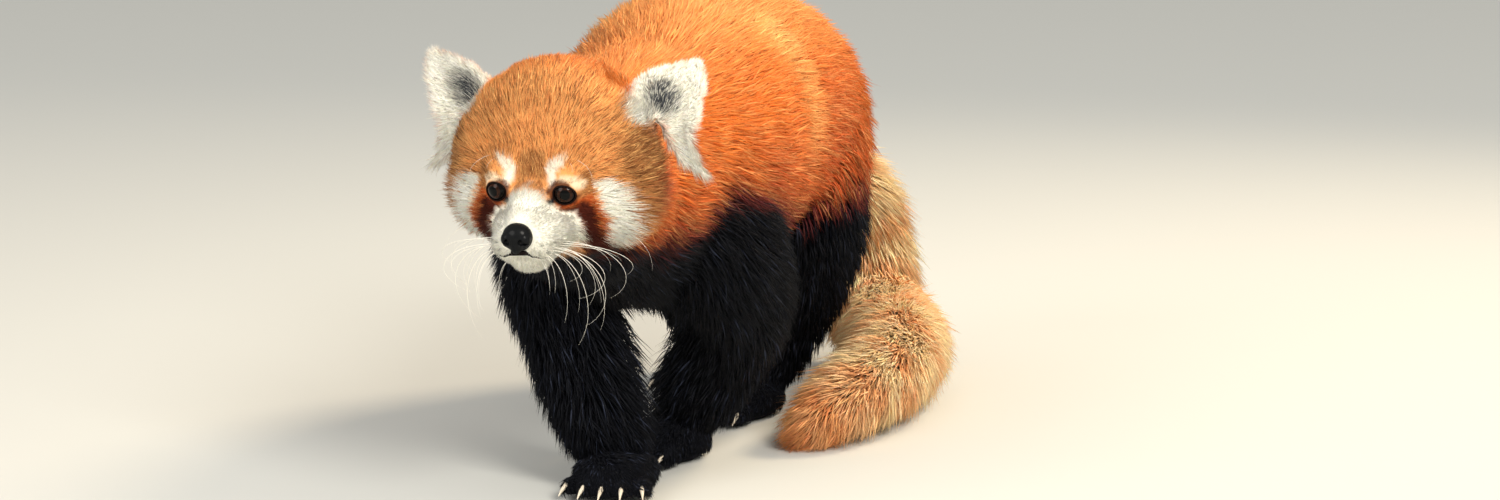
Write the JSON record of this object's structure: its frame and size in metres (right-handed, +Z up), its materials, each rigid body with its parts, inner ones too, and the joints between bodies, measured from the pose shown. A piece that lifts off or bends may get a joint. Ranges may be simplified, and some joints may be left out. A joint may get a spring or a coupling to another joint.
{
  "type": "red panda",
  "caption": "Standing adult red panda with lowered head, arched back, pricked ears and bushy ringed tail laid on the floor beside it.",
  "frame": {"origin": "middle of the left fore paw's sole, on the level the animal stands on", "axes": "+Z up, -Y ahead of the animal, +X to its left"},
  "size_m": [0.2528, 0.6322, 0.2943],
  "materials": {
    "fur_rust": "long dense coat, rust orange with white and dark face markings, matt",
    "fur_black": "dense coat, near black, matt",
    "fur_tail": "bushy coat, buff with rust rings, matt",
    "fur_white": "soft cream white coat with grey in the cups, matt",
    "eye": "wet, very dark brown",
    "nose_leather": "damp black skin",
    "claw_horn": "pale horn, satin"
  },
  "bodies": {
    "root": {"head": "fur_rust", "neck": "fur_rust", "torso": "fur_rust", "upper_arm_left": "fur_black", "upper_arm_right": "fur_black", "forearm_left": "fur_black", "forearm_right": "fur_black", "paw_fore_left": "fur_black", "paw_fore_right": "fur_black", "thigh_left": "fur_black", "thigh_right": "fur_black", "shank_left": "fur_black", "shank_right": "fur_black", "paw_hind_left": "fur_black", "paw_hind_right": "fur_black", "tail_1_root": "fur_tail", "tail_2_bend": "fur_tail", "tail_3_mid": "fur_tail", "tail_4_tip": "fur_tail", "ear_left": "fur_white", "ear_right": "fur_white", "eye_left": "eye", "eye_right": "eye", "nose": "nose_leather", "claw_fore_left_1": "claw_horn", "claw_fore_left_2": "claw_horn", "claw_fore_left_3": "claw_horn", "claw_fore_left_4": "claw_horn", "claw_fore_left_5": "claw_horn", "claw_fore_right_1": "claw_horn", "claw_fore_right_2": "claw_horn", "claw_fore_right_3": "claw_horn", "claw_fore_right_4": "claw_horn", "claw_fore_right_5": "claw_horn", "claw_hind_left_1": "claw_horn", "claw_hind_left_2": "claw_horn", "claw_hind_left_3": "claw_horn", "claw_hind_left_4": "claw_horn", "claw_hind_left_5": "claw_horn", "claw_hind_right_1": "claw_horn", "claw_hind_right_2": "claw_horn", "claw_hind_right_3": "claw_horn", "claw_hind_right_4": "claw_horn", "claw_hind_right_5": "claw_horn"}
  },
  "joints": []
}
